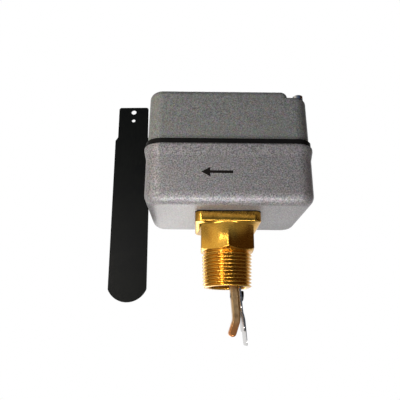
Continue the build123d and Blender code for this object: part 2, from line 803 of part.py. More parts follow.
def make_range_screw():
    """Setting screw with a slotted head on top of the bridge."""
    length = bridge_top - (lever_plate_bottom - range_screw_below_arm)
    screw = slotted_screw(range_screw_diameter, length, range_screw_head, range_screw_head_height, turn=25)
    return Pos(spring_x, 0, bridge_top + clip_seat / 2) * screw


def make_range_clip():
    """Ring under the bridge that keeps the range screw from rising."""
    high = bridge_bottom - clip_seat / 2
    ring = cylinder_z(clip_diameter, high - clip_thickness, high, spring_x)
    return ring - cylinder_z(range_screw_diameter + 0.04, high - 2, high + 1, spring_x)


def make_switch_bracket():
    """Z bracket: foot on the plate, riser, shelf under the switch."""
    half = bracket_width / 2
    shelf_low = bracket_top - bracket_thickness
    shelf = (switch_front + bracket_shelf_inset, riser_back)
    bracket = block(shelf, (-half, half), (shelf_low, bracket_top))
    bracket += block((riser_front, riser_back), (-half, half), (plate_top, bracket_top))
    bracket += block((riser_front, bracket_foot_end), (-half, half), (plate_top, foot_top))
    bend = bracket.edges().filter_by(Axis.Y).group_by(Axis.Z)[-1].sort_by(Axis.X)[-1]
    bracket = fillet(bend, bracket_thickness * 0.9)
    for x, y in switch_screw_places():
        bracket -= cylinder_z(tapped_diameter(switch_screw_diameter), shelf_low - 1, bracket_top + 1, x, y)
    for x, y in bracket_screw_places():
        bracket -= cylinder_z(bracket_screw_diameter + plain_hole_slack, plate_top - 1, foot_top + 1, x, y)
    return bracket


def bracket_screw_places():
    """The two screws through the bracket's foot, where a driver passes between the terminals."""
    return [(bracket_screw_x, y) for y in (-terminal_spacing / 2, terminal_spacing / 2)]


def switch_screw_places():
    """The two screws down through the switch."""
    return [(switch_screw_x, y) for y in (-switch_hole_spacing / 2, switch_hole_spacing / 2)]


def make_bracket_screws():
    """Two screws through the bracket's foot into the plate."""
    return screws_at(
        bracket_screw_places(), foot_top, bracket_screw_diameter, bracket_screw_length,
        bracket_screw_head, bracket_screw_head_height, turn=75,
    )


def make_switch_case():
    """Moulded snap-switch body with a plunger collar and three terminal posts."""
    half = switch_length / 2
    body = block((switch_front, switch_back), (-half, half), (switch_bottom, switch_top))
    body = fillet(body.edges().filter_by(Axis.Z), switch_edge)
    collar_front = switch_front - switch_collar_length
    body += cylinder_x(switch_collar_diameter, collar_front, switch_front + 1, z=switch_height)
    post_half = terminal_post_width / 2
    for y in terminal_places():
        body += block(
            (switch_back - 1, switch_back + terminal_reach - terminal_thickness),
            (y - post_half, y + post_half),
            (switch_height - terminal_post_below, switch_height + terminal_post_above),
        )
    well_end = plunger_tip() + plunger_depth + plunger_travel + plunger_end_gap
    body -= cylinder_x(plunger_diameter + 2 * plunger_slack, collar_front - 1, well_end, z=switch_height)
    for x, y in switch_screw_places():
        body -= cylinder_z(switch_screw_diameter + plain_hole_slack, switch_bottom - 1, switch_top + 1, x, y)
    for y in terminal_places():
        body -= cylinder_x(
            tapped_diameter(terminal_screw_diameter), switch_back, terminal_face + 1, y, switch_height
        )
    return body


def terminal_places():
    """Where the three terminals stand along the switch."""
    return (-terminal_spacing, 0.0, terminal_spacing)


def plunger_tip():
    """Where the plunger's tip stands, just clear of the striker."""
    return striker_x + lever_plate_thickness + plunger_gap


def make_switch_plunger():
    """Domed plunger that slides in the switch's collar."""
    tip = plunger_tip()
    plunger = cylinder_x(plunger_diameter, tip, tip + plunger_depth, z=switch_height)
    return fillet(plunger.edges().sort_by(Axis.X)[0], plunger_diameter * 0.4)


def make_switch_screws():
    """Two screws down through the switch into the shelf."""
    length = switch_thickness + bracket_thickness
    return screws_at(
        switch_screw_places(), switch_top, switch_screw_diameter, length,
        switch_screw_head, switch_screw_head_height, turn=45,
    )


def make_switch_terminals():
    """Three brass terminal plates that reach below their posts."""
    tabs = []
    for y in terminal_places():
        half = terminal_width / 2
        tab = block(
            (terminal_face - terminal_thickness, terminal_face),
            (y - half, y + half),
            (switch_height - terminal_lug_below, switch_height + terminal_lug_above),
        )
        hole = terminal_screw_diameter + plain_hole_slack
        tab -= cylinder_x(hole, switch_back + 1, terminal_face + 1, y, switch_height)
        tabs.append(tab)
    return Compound(tabs)


def make_terminal_screws():
    """Three screws, heads outwards, in the terminals."""
    one = slotted_screw(
        terminal_screw_diameter, terminal_screw_length, terminal_screw_head,
        terminal_screw_head_height, turn=30,
    )
    return Compound([Pos(terminal_face, y, switch_height) * Rot(0, 90, 0) * one for y in terminal_places()])


def make_earth_screw():
    """Screw of the earth terminal."""
    level = floor_top + earth_boss_height + earth_washer_thickness
    return screws_at(
        [(earth_x, earth_y)], level, earth_screw_diameter, earth_screw_length,
        earth_screw_head, earth_screw_head_height, turn=15,
    )


def make_earth_washer():
    """Plain washer that clamps the wire under the earth screw's head."""
    low = floor_top + earth_boss_height
    high = low + earth_washer_thickness
    washer = cylinder_z(earth_washer_diameter, low, high, earth_x, earth_y)
    return washer - cylinder_z(earth_screw_diameter + plain_hole_slack, low - 1, high + 1, earth_x, earth_y)


def make_parts():
    """Every node of the assembly by name."""
    return {
        "brass_body": make_brass_body(),
        "flange_gasket": make_flange_gasket(),
        "lower_case": make_lower_case(),
        "cover_gasket": make_cover_gasket(),
        "top_cover": make_top_cover(),
        "cover_screws": make_cover_screws(),
        "pivot_bracket": make_pivot_bracket(),
        "flange_screws": make_flange_screws(),
        "pivot_pin": make_pivot_pin(),
        "pivot_clips": make_pivot_clips(),
        "paddle_lever": make_paddle_lever(),
        "short_paddle": make_blade(short_blade_length, 0),
        "medium_paddle": make_blade(medium_blade_length, 1, medium_blade_set),
        "long_paddle": make_blade(long_blade_length, 2, long_blade_set),
        "paddle_screw": make_paddle_screw(),
        "paddle_pin": make_paddle_pin(),
        "spare_paddle": make_spare_paddle(),
        "sealing_bellows": make_sealing_bellows(),
        "switch_lever": make_switch_lever(),
        "lever_screws": make_lever_screws(),
        "spring_bridge": make_spring_bridge(),
        "bridge_screws": make_bridge_screws(),
        "range_spring": make_range_spring(),
        "range_nut": make_range_nut(),
        "range_screw": make_range_screw(),
        "range_clip": make_range_clip(),
        "switch_bracket": make_switch_bracket(),
        "bracket_screws": make_bracket_screws(),
        "switch_case": make_switch_case(),
        "switch_plunger": make_switch_plunger(),
        "switch_screws": make_switch_screws(),
        "switch_terminals": make_switch_terminals(),
        "terminal_screws": make_terminal_screws(),
        "earth_screw": make_earth_screw(),
        "earth_washer": make_earth_washer(),
    }


def main():
    os.makedirs("parts", exist_ok=True)
    for name, part in make_parts().items():
        export_step(part, f"parts/{name}.step")
        print(name, len(part.solids()), "solids", round(part.volume, 2), "mm3")


main()
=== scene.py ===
import json
import math

import bmesh
import bpy
from mathutils import Matrix, Vector

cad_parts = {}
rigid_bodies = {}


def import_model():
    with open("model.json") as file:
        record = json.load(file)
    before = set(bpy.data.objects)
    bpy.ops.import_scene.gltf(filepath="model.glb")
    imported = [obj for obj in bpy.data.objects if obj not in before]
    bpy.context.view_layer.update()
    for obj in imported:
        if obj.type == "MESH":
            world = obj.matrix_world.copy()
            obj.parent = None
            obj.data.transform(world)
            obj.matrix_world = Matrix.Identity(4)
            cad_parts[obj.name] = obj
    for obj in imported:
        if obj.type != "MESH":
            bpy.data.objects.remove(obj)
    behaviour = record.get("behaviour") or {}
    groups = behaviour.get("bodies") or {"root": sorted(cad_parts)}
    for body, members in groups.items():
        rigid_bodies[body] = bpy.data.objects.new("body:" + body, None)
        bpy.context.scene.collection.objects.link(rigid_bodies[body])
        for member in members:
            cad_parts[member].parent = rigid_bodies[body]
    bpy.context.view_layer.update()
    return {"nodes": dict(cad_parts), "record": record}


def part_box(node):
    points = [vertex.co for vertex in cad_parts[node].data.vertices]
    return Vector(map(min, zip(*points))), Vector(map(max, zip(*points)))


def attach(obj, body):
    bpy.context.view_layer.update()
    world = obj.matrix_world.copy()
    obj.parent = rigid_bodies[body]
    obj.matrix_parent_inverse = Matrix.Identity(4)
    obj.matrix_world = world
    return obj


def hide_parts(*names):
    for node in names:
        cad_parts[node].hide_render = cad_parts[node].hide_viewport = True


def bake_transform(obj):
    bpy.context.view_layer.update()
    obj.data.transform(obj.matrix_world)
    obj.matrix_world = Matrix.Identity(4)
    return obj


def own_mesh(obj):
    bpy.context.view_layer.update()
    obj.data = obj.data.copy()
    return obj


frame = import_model()
nodes = frame["nodes"]
record = frame["record"]
nodeSlot = {row["node"]: row["material_slot"] for row in record["subparts"]}
nodeBody = {name: body for body, names in record["behaviour"]["bodies"].items() for name in names}
print("frame loaded:", len(nodes), "nodes")

mm = 0.001  # every size below is written in millimetres
sameSpot = 0.002 * mm  # corner points closer than this are one


# helpers for node trees, used by the finishes and by the geometry alike
def feed(tree, value, socket):
    if isinstance(value, bpy.types.NodeSocket):
        tree.links.new(value, socket)
    elif isinstance(value, (tuple, list)) and socket.type == "RGBA":
        socket.default_value = (*value[:3], 1)
    else:
        socket.default_value = value


def addNode(tree, kind, settings=None, **inputs):  # inputs by name, or i0, i1 ... by number
    node = tree.nodes.new(kind)
    for key, value in (settings or {}).items():
        setattr(node, key, value)
    for key, value in inputs.items():
        socket = node.inputs[int(key[1:])] if key[1:].isdigit() else node.inputs[key.replace("_", " ")]
        feed(tree, value, socket)
    return node


def calc(tree, operation, first, second=0.0, third=0.0):
    return addNode(tree, "ShaderNodeMath", {"operation": operation}, i0=first, i1=second, i2=third).outputs[0]


def times(tree, first, second):
    return calc(tree, "MULTIPLY", first, second)


def plus(tree, first, second):
    return calc(tree, "ADD", first, second)


def minus(tree, first, second):
    return calc(tree, "SUBTRACT", first, second)


def divide(tree, first, second):
    return calc(tree, "DIVIDE", first, second)


def mixNumbers(tree, factor, first, second):
    return addNode(tree, "ShaderNodeMix", {"data_type": "FLOAT"}, i0=factor, i2=first, i3=second).outputs[0]


def splitVector(tree, socket):  # outputs X, Y and Z
    return addNode(tree, "ShaderNodeSeparateXYZ", Vector=socket).outputs


def joinVector(tree, **axes):
    return addNode(tree, "ShaderNodeCombineXYZ", **axes).outputs[0]


def vectorLength(tree, socket):
    return addNode(tree, "ShaderNodeVectorMath", {"operation": "LENGTH"}, i0=socket).outputs["Value"]


def smoothStep(tree, value, fromLow, fromHigh, low=0.0, high=1.0):
    settings = {"interpolation_type": "SMOOTHSTEP"}
    ends = {"i1": fromLow, "i2": fromHigh, "i3": low, "i4": high}
    return addNode(tree, "ShaderNodeMapRange", settings, i0=value, **ends).outputs[0]


def srgb(red, green, blue):  # 0-255 as a picture shows them, to the linear values that shaders take
    shares = (red / 255, green / 255, blue / 255)
    return tuple(c / 12.92 if c <= 0.04045 else ((c + 0.055) / 1.055) ** 2.4 for c in shares)


# finishes: every pattern reads Object coordinates, so it stays with its piece
patternBands = {  # noise level where a pattern starts to show, and where it is full
    "flakes": (0.36, 0.64), "clouds": (0.4, 0.75), "stains": (0.42, 0.72), "lines": (0.45, 0.7),
    "foot": (0.2, 0.5), "bloom": (0.35, 0.75), "gloss": (0.3, 0.7),
}
flakeMix = {"speckSize": 0.45, "speckShare": 0.45, "hueSize": 1.5, "dimpleShare": 0.7}  # sizes in flakes


def blankMaterial(name):
    material = bpy.data.materials.new(name)
    material.use_nodes = True
    tree = material.node_tree
    tree.nodes.clear()
    shader = tree.nodes.new("ShaderNodeBsdfPrincipled")
    output = tree.nodes.new("ShaderNodeOutputMaterial")
    tree.links.new(shader.outputs["BSDF"], output.inputs["Surface"])
    return material, tree, shader


def objectPoint(tree, stretch=(1, 1, 1)):
    point = tree.nodes.new("ShaderNodeTexCoord").outputs["Object"]
    if stretch != (1, 1, 1):
        point = addNode(tree, "ShaderNodeMapping", Vector=point, Scale=stretch).outputs[0]
    return point


def grains(tree, point, size, detail=2.0, roughness=0.5, distortion=0.0):  # size of one grain in mm
    return addNode(
        tree, "ShaderNodeTexNoise", Vector=point, Scale=1 / (size * mm), Detail=detail,
        Roughness=roughness, Distortion=distortion,
    ).outputs["Fac"]


def blendColours(tree, factor, first, second, blend="MIX"):
    settings = {"data_type": "RGBA", "blend_type": blend}
    return addNode(tree, "ShaderNodeMix", settings, i0=factor, i6=first, i7=second).outputs[2]


def relief(tree, height, depth, edge=0.0):  # depth of the bumps and radius of the softened edges, in mm
    node = addNode(tree, "ShaderNodeBump", Height=height, Distance=depth * mm)
    if edge:
        softened = addNode(tree, "ShaderNodeBevel", {"samples": 4}, Radius=edge * mm)
        tree.links.new(softened.outputs[0], node.inputs["Normal"])
    return node.outputs[0]


def metallicPaint(name, look):
    material, tree, shader = blankMaterial(name)
    point = objectPoint(tree)
    flakes = grains(tree, point, look["flake"], detail=2.0, roughness=0.6)
    specks = grains(tree, point, look["flake"] * flakeMix["speckSize"], detail=1.0)
    clouds = grains(tree, point, look["cloud"], detail=2.0)
    speckShare = flakeMix["speckShare"]
    mixed = calc(tree, "MULTIPLY_ADD", specks, speckShare, times(tree, flakes, 1 - speckShare))
    lit = smoothStep(tree, mixed, *patternBands["flakes"])
    colour = blendColours(tree, lit, look["dark"], look["light"])
    hueSize = look["flake"] * flakeMix["hueSize"] * mm
    hues = addNode(tree, "ShaderNodeTexVoronoi", Vector=point, Scale=1 / hueSize)
    colour = blendColours(tree, look["sparkle"], colour, hues.outputs["Color"], "OVERLAY")
    cloudy = smoothStep(tree, clouds, *patternBands["clouds"], 0, look["cloudAmount"])
    colour = blendColours(tree, cloudy, colour, look["cloudTint"])
    feed(tree, colour, shader.inputs["Base Color"])
    gloss = smoothStep(tree, mixed, *patternBands["gloss"], *look["gloss"])
    feed(tree, gloss, shader.inputs["Roughness"])
    shader.inputs["Metallic"].default_value = look["metallic"]
    shader.inputs["Coat Weight"].default_value = look["coat"]
    shader.inputs["Coat Roughness"].default_value = look["coatRoughness"]
    soft = {"feature": "SMOOTH_F1"}
    dimples = addNode(tree, "ShaderNodeTexVoronoi", soft, Vector=point, Scale=1 / (look["dimple"] * mm))
    height = calc(tree, "MULTIPLY_ADD", dimples.outputs["Distance"], flakeMix["dimpleShare"], mixed)
    feed(tree, relief(tree, height, look["depth"], look["edge"]), shader.inputs["Normal"])
    return material


def workedMetal(name, look):
    material, tree, shader = blankMaterial(name)
    drawn = objectPoint(tree, look.get("stretch", (1, 1, 1)))
    lines = grains(tree, drawn, look["grain"], detail=4.0, roughness=0.65)
    stains = grains(tree, objectPoint(tree), look["stainSize"], detail=3.0, roughness=0.6, distortion=0.4)
    stained = smoothStep(tree, stains, *patternBands["stains"], 0, look["stainAmount"])
    colour = blendColours(tree, stained, look["colour"], look["stain"])
    lined = smoothStep(tree, lines, *patternBands["lines"], 0, look["lineAmount"])
    colour = blendColours(tree, lined, colour, look["line"])
    if "footColour" in look:  # the colour turns redder towards the lower end, in patches
        height = splitVector(tree, objectPoint(tree))["Z"]
        share = smoothStep(tree, height, look["footFrom"] * mm, look["footTo"] * mm, 1, 0)
        wavy = times(tree, share, smoothStep(tree, stains, *patternBands["foot"], look["footLeast"], 1))
        colour = blendColours(tree, wavy, colour, look["footColour"])
    feed(tree, colour, shader.inputs["Base Color"])
    shader.inputs["Metallic"].default_value = look.get("metallic", 1.0)
    shader.inputs["Specular IOR Level"].default_value = look.get("shine", 0.5)
    gloss = smoothStep(tree, lines, *patternBands["gloss"], *look["gloss"])
    feed(tree, gloss, shader.inputs["Roughness"])
    feed(tree, relief(tree, lines, look["depth"], look["edge"]), shader.inputs["Normal"])
    return material


def mouldedSkin(name, look):
    material, tree, shader = blankMaterial(name)
    point = objectPoint(tree)
    grain = grains(tree, point, look["grain"], detail=4.0, roughness=0.6)
    bloom = grains(tree, point, look["bloomSize"], detail=2.0)
    bloomed = smoothStep(tree, bloom, *patternBands["bloom"])
    colour = blendColours(tree, bloomed, look["colour"], look["bloom"])
    feed(tree, colour, shader.inputs["Base Color"])
    gloss = smoothStep(tree, grain, *patternBands["gloss"], *look["gloss"])
    feed(tree, gloss, shader.inputs["Roughness"])
    shader.inputs["Specular IOR Level"].default_value = look.get("shine", 0.5)
    feed(tree, relief(tree, grain, look["depth"], look["edge"]), shader.inputs["Normal"])
    return material


casePaint = {
    "dark": srgb(92, 93, 96), "light": srgb(176, 174, 177), "cloudTint": srgb(146, 140, 140),
    "cloudAmount": 0.25, "sparkle": 0.08, "flake": 0.95, "cloud": 14.0, "dimple": 1.4, "depth": 0.1,
    "gloss": (0.4, 0.56), "metallic": 0.4, "coat": 0.1, "coatRoughness": 0.34, "edge": 0.0,
}
coverPaint = {
    "dark": srgb(98, 100, 100), "light": srgb(160, 162, 161), "cloudTint": srgb(124, 125, 119),
    "cloudAmount": 0.25, "sparkle": 0.12, "flake": 0.85, "cloud": 16.0, "dimple": 1.3, "depth": 0.08,
    "gloss": (0.42, 0.58), "metallic": 0.4, "coat": 0.1, "coatRoughness": 0.34, "edge": 0.0,
}
brass = {
    "colour": srgb(214, 164, 66), "stain": srgb(182, 128, 46), "stainAmount": 0.5,
    "line": srgb(232, 196, 112), "lineAmount": 0.25, "grain": 0.35, "stainSize": 8.0,
    "gloss": (0.16, 0.3), "depth": 0.01, "edge": 0.25,
}
leverBrass = {
    "colour": srgb(196, 164, 120), "stain": srgb(150, 112, 74), "stainAmount": 0.7,
    "line": srgb(228, 204, 164), "lineAmount": 0.35, "grain": 0.25, "stretch": (1, 1, 0.12),
    "stainSize": 5.0, "gloss": (0.3, 0.46), "depth": 0.01, "edge": 0.3, "footColour": srgb(204, 138, 84),
    "footFrom": -52.0, "footTo": -42.0,
    "footLeast": 0.75,
}
bladeSteel = {
    "colour": srgb(186, 184, 182), "stain": srgb(140, 136, 132), "stainAmount": 0.4,
    "line": srgb(220, 220, 220), "lineAmount": 0.4, "grain": 0.2, "stretch": (1, 1, 0.08),
    "stainSize": 8.0, "gloss": (0.18, 0.32), "depth": 0.004, "edge": 0.0,
}
# spare blades: near-black with no metal shine, a painted dark reflection standing in for the dark room that
# the steel mirrors
darkReflectionBlade = {
    "colour": srgb(11, 13, 13), "stain": srgb(5, 7, 10), "stainAmount": 0.8, "line": srgb(27, 30, 29),
    "lineAmount": 0.3, "grain": 0.3, "stretch": (1, 1, 0.06), "stainSize": 22.0, "gloss": (0.36, 0.5),
    "depth": 0.004, "edge": 0.0, "metallic": 0.0, "shine": 0.1,
}
darkScrew = {
    "colour": srgb(34, 33, 34), "stain": srgb(18, 18, 20), "stainAmount": 0.6, "line": srgb(72, 70, 68),
    "lineAmount": 0.25, "grain": 0.2, "stainSize": 2.5, "gloss": (0.26, 0.42), "depth": 0.006,
    "edge": 0.12, "metallic": 0.7,
}
zincPlate = {
    "colour": srgb(170, 172, 170), "stain": srgb(138, 140, 132), "stainAmount": 0.6,
    "line": srgb(200, 200, 192), "lineAmount": 0.4, "grain": 0.3, "stainSize": 5.0, "gloss": (0.36, 0.52),
    "depth": 0.006, "edge": 0.15,
}
brightScrew = {
    "colour": srgb(196, 200, 204), "stain": srgb(160, 166, 172), "stainAmount": 0.5,
    "line": srgb(232, 236, 240), "lineAmount": 0.3, "grain": 0.2, "stainSize": 3.0, "gloss": (0.14, 0.28),
    "depth": 0.004, "edge": 0.12,
}
springSteel = {
    "colour": srgb(150, 150, 152), "stain": srgb(112, 108, 106), "stainAmount": 0.5,
    "line": srgb(200, 200, 200), "lineAmount": 0.3, "grain": 0.2, "stainSize": 3.0, "gloss": (0.2, 0.34),
    "depth": 0.004, "edge": 0.0,
}
bellowsBronze = {
    "colour": srgb(200, 150, 96), "stain": srgb(160, 110, 66), "stainAmount": 0.6,
    "line": srgb(228, 190, 140), "lineAmount": 0.3, "grain": 0.4, "stainSize": 5.0, "gloss": (0.2, 0.36),
    "depth": 0.006, "edge": 0.0,
}
blackRubber = {
    "colour": srgb(13, 12, 12), "bloom": srgb(20, 19, 19), "grain": 0.35, "bloomSize": 9.0,
    "gloss": (0.46, 0.62), "depth": 0.015, "edge": 0.25, "shine": 0.12,
}
switchPlastic = {
    "colour": srgb(26, 26, 28), "bloom": srgb(34, 34, 36), "grain": 0.5, "bloomSize": 12.0,
    "gloss": (0.34, 0.48), "depth": 0.008, "edge": 0.25,
}
plungerPlastic = {
    "colour": srgb(150, 30, 26), "bloom": srgb(168, 40, 34), "grain": 0.4, "bloomSize": 5.0,
    "gloss": (0.3, 0.42), "depth": 0.005, "edge": 0.1,
}
printInk = {
    "colour": srgb(18, 15, 15), "bloom": srgb(26, 22, 22), "grain": 0.4, "bloomSize": 4.0,
    "gloss": (0.4, 0.55), "depth": 0.01, "edge": 0.0, "shine": 0.15,
}

finishes = {
    "case_paint": metallicPaint("casePaint", casePaint),
    "cover_paint": metallicPaint("coverPaint", coverPaint),
    "brass": workedMetal("turnedBrass", brass),
    "lever_brass": workedMetal("leverBrass", leverBrass),
    "blade_steel": workedMetal("bladeSteel", bladeSteel),
    # painted dark reflection on the spare blades
    "dark_blade": workedMetal("darkReflectionBlade", darkReflectionBlade),
    "dark_screw": workedMetal("darkScrew", darkScrew),
    "plated_steel": workedMetal("zincPlate", zincPlate),
    "bright_screw": workedMetal("brightScrew", brightScrew),
    "spring_steel": workedMetal("springSteel", springSteel),
    "bronze": workedMetal("bellowsBronze", bellowsBronze),
    "rubber": mouldedSkin("blackRubber", blackRubber),
    "switch_plastic": mouldedSkin("switchPlastic", switchPlastic),
    "plunger_plastic": mouldedSkin("plungerPlastic", plungerPlastic),
}
for name, node in nodes.items():
    for slot in node.material_slots:
        slot.material = finishes[nodeSlot[name]]
print("finishes on", len(nodes), "nodes")


# helpers for the pieces that are made here
def addObject(name, mesh, material=None):
    piece = bpy.data.objects.new(name, mesh)
    bpy.context.scene.collection.objects.link(piece)
    if material:
        mesh.materials.clear()
        mesh.materials.append(material)
    return piece


def standFor(piece, *names):  # the piece takes these nodes' place, finish and body
    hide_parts(*names)
    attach(piece, nodeBody[names[0]])
    return piece


def mergedCopy(nodeName, name):  # a CAD node's mesh with its doubles merged, its normals kept as they are
    mesh = nodes[nodeName].data.copy()
    held = mesh.attributes.new("heldNormal", "FLOAT_VECTOR", "CORNER")
    held.data.foreach_set("vector", [x for corner in mesh.corner_normals for x in corner.vector])
    form = bmesh.new()
    form.from_mesh(mesh)
    bmesh.ops.remove_doubles(form, verts=form.verts, dist=sameSpot)
    form.to_mesh(mesh)
    form.free()
    held = mesh.attributes["heldNormal"]
    normals = [tuple(corner.vector) for corner in held.data]
    mesh.attributes.remove(held)
    mesh.normals_split_custom_set(normals)
    return addObject(name, mesh, finishes[nodeSlot[nodeName]])


def newTree(name, sockets):  # sockets: (label, kind) in the order of the modifier's panel
    tree = bpy.data.node_groups.new(name, "GeometryNodeTree")
    tree.interface.new_socket("Geometry", in_out="OUTPUT", socket_type="NodeSocketGeometry")
    tree.interface.new_socket("Places", in_out="INPUT", socket_type="NodeSocketGeometry")
    for label, kind in sockets:
        tree.interface.new_socket(label, in_out="INPUT", socket_type="NodeSocket" + kind)
    return tree, tree.nodes.new("NodeGroupInput").outputs


def raised(tree, geometry, height):
    lift = joinVector(tree, Z=height)
    return addNode(tree, "GeometryNodeTransform", Geometry=geometry, Translation=lift).outputs[0]


def closeTree(tree, geometry, material):
    smooth = addNode(tree, "GeometryNodeSetShadeSmooth", i0=geometry).outputs[0]
    real = addNode(tree, "GeometryNodeRealizeInstances", i0=smooth).outputs[0]
    painted = addNode(tree, "GeometryNodeSetMaterial", Geometry=real, Material=material).outputs[0]
    sink = tree.nodes.new("NodeGroupOutput")
    tree.links.new(painted, sink.inputs[0])


def growPiece(name, tree, values, places=((0, 0, 0),), sharpAngle=35):
    mesh = bpy.data.meshes.new(name + "Places")
    mesh.from_pydata([tuple(c * mm for c in p) for p in places], [], [])
    seed = addObject(name + "Seed", mesh)
    modifier = seed.modifiers.new("grow", "NODES")
    modifier.node_group = tree
    for item in tree.interface.items_tree:
        if item.in_out == "INPUT" and item.name in values:
            modifier[item.identifier] = values[item.name]
    grown = bpy.data.meshes.new_from_object(seed.evaluated_get(bpy.context.evaluated_depsgraph_get()))
    bpy.data.objects.remove(seed)
    grown.name = name
    grown.set_sharp_from_angle(angle=math.radians(sharpAngle))
    return addObject(name, grown)


def flatNormals(piece):  # flat faces keep their own normals beside small fillets
    modifier = piece.modifiers.new("flatNormals", "WEIGHTED_NORMAL")
    modifier.keep_sharp, modifier.weight = True, 100
    mesh = bpy.data.meshes.new_from_object(piece.evaluated_get(bpy.context.evaluated_depsgraph_get()))
    piece.modifiers.clear()
    piece.data = mesh


def turnOutwards(mesh, centreOf):  # flips a shell whose faces look at its middle line
    lean = sum(p.normal.dot(p.center - centreOf(p.center)) * p.area for p in mesh.polygons)
    if lean < 0:
        mesh.flip_normals()


# brass body: the CAD body, its plain shank changed for a real pipe thread
pipeThread = {
    "Length": 24.0, "Pitch": 2.309, "Crest radius": 17.3, "Depth": 1.479, "Taper": 1 / 16,
    "Neck radius": 15.5, "Neck length": 0.7, "Runout": 1.6, "End radius": 15.7, "Mouth radius": 13.47,
    "Shoulder radius": 17.5, "Steps round": 160, "Rows per turn": 12,
}
threadForm = {  # flank: share of half a pitch where it starts and ends; the others are in turns and mm
    "flank": (0.08, 0.92), "spareTurns": 1.2, "shoulderGap": 0.02, "rimRise": 0.04,
}


def pipeThreadTree():
    tree, size = newTree("pipeThread", [
        ("Length", "Float"), ("Pitch", "Float"), ("Crest radius", "Float"), ("Depth", "Float"),
        ("Taper", "Float"), ("Neck radius", "Float"), ("Neck length", "Float"), ("Runout", "Float"),
        ("End radius", "Float"), ("Mouth radius", "Float"), ("Shoulder radius", "Float"),
        ("Steps round", "Int"), ("Rows per turn", "Int"), ("Material", "Material"),
    ])
    # the grid is wound round: rows 0 and 1 are the shoulder, the last row is the mouth, the rest the thread
    turns = plus(tree, divide(tree, size["Length"], size["Pitch"]), threadForm["spareTurns"])
    turns = calc(tree, "CEIL", turns)
    rows = calc(tree, "MULTIPLY_ADD", turns, size["Rows per turn"], 4.0)
    grid = addNode(
        tree, "GeometryNodeMeshGrid", Size_X=1.0, Size_Y=1.0,
        Vertices_X=plus(tree, size["Steps round"], 1.0), Vertices_Y=rows,
    )
    place = splitVector(tree, tree.nodes.new("GeometryNodeInputPosition").outputs[0])
    turnShare = plus(tree, place["X"], 0.5)
    lastRow = minus(tree, rows, 1.0)
    row = calc(tree, "ROUND", times(tree, plus(tree, place["Y"], 0.5), lastRow))
    turnsDown = divide(tree, minus(tree, row, 2.0), size["Rows per turn"])
    free = times(tree, minus(tree, turnShare, turnsDown), size["Pitch"])
    level = calc(tree, "MINIMUM", free, -threadForm["shoulderGap"])
    level = calc(tree, "MAXIMUM", level, times(tree, size["Length"], -1.0))
    phase = calc(tree, "FRACT", plus(tree, minus(tree, turnShare, divide(tree, level, size["Pitch"])), 1.0))
    ridge = calc(tree, "ABSOLUTE", calc(tree, "MULTIPLY_ADD", phase, 2.0, -1.0))
    flank = smoothStep(tree, ridge, *threadForm["flank"])
    crest = calc(tree, "MULTIPLY_ADD", times(tree, level, size["Taper"]), 0.5, size["Crest radius"])
    radius = minus(tree, crest, times(tree, size["Depth"], minus(tree, 1.0, flank)))
    neck = times(tree, size["Neck length"], -1.0)
    runout = smoothStep(tree, level, minus(tree, neck, size["Runout"]), neck)
    radius = mixNumbers(tree, runout, radius, size["Neck radius"])
    lead = plus(tree, plus(tree, level, size["Length"]), size["End radius"])
    radius = calc(tree, "MINIMUM", radius, lead)
    isShoulder = calc(tree, "LESS_THAN", row, 1.5)
    isMouth = calc(tree, "GREATER_THAN", row, minus(tree, lastRow, 0.5))
    radius = mixNumbers(tree, isShoulder, radius, size["Shoulder radius"])
    radius = mixNumbers(tree, isMouth, radius, size["Mouth radius"])
    isRim = calc(tree, "LESS_THAN", row, 0.5)  # the rim rises past the gap, into the hexagon
    level = calc(tree, "MULTIPLY_ADD", isRim, threadForm["rimRise"], level)
    angle = times(tree, turnShare, 2 * math.pi)
    spot = joinVector(
        tree, X=times(tree, radius, calc(tree, "COSINE", angle)),
        Y=times(tree, radius, calc(tree, "SINE", angle)), Z=level,
    )
    spot = addNode(tree, "ShaderNodeVectorMath", {"operation": "SCALE"}, Vector=spot, Scale=mm).outputs[0]
    shaped = addNode(tree, "GeometryNodeSetPosition", Geometry=grid.outputs["Mesh"], Position=spot).outputs[0]
    joined = addNode(tree, "GeometryNodeMergeByDistance", Geometry=shaped, Distance=0.001 * mm).outputs[0]
    closeTree(tree, joined, size["Material"])
    return tree


def isPlainShank(face):  # what the thread takes the place of; the bore stays
    centre = face.calc_center_median()
    return centre.z < -sameSpot / 2 and centre.xy.length > (pipeThread["Mouth radius"] + 0.03) * mm


def makeBrassBody():
    values = {**pipeThread, "Material": finishes["brass"]}
    thread = growPiece("threadSkin", pipeThreadTree(), values, sharpAngle=50)
    turnOutwards(thread.data, lambda c: Vector((0, 0, c.z)))
    body = bmesh.new()
    body.from_mesh(nodes["brass_body"].data)
    bmesh.ops.remove_doubles(body, verts=body.verts, dist=sameSpot)
    bmesh.ops.delete(body, geom=[f for f in body.faces if isPlainShank(f)], context="FACES")
    for face in body.faces:
        face.smooth = True
    mesh = bpy.data.meshes.new("brassBody")
    body.to_mesh(mesh)
    body.free()
    mesh.set_sharp_from_angle(angle=math.radians(30))
    piece = addObject("brassBody", mesh, finishes["brass"])
    flatNormals(piece)
    both = {"active_object": piece, "object": piece, "selected_editable_objects": [piece, thread]}
    with bpy.context.temp_override(**both):
        bpy.ops.object.join()
    return standFor(piece, "brass_body")


brassPiece = makeBrassBody()
print("brass body:", len(brassPiece.data.polygons), "faces")


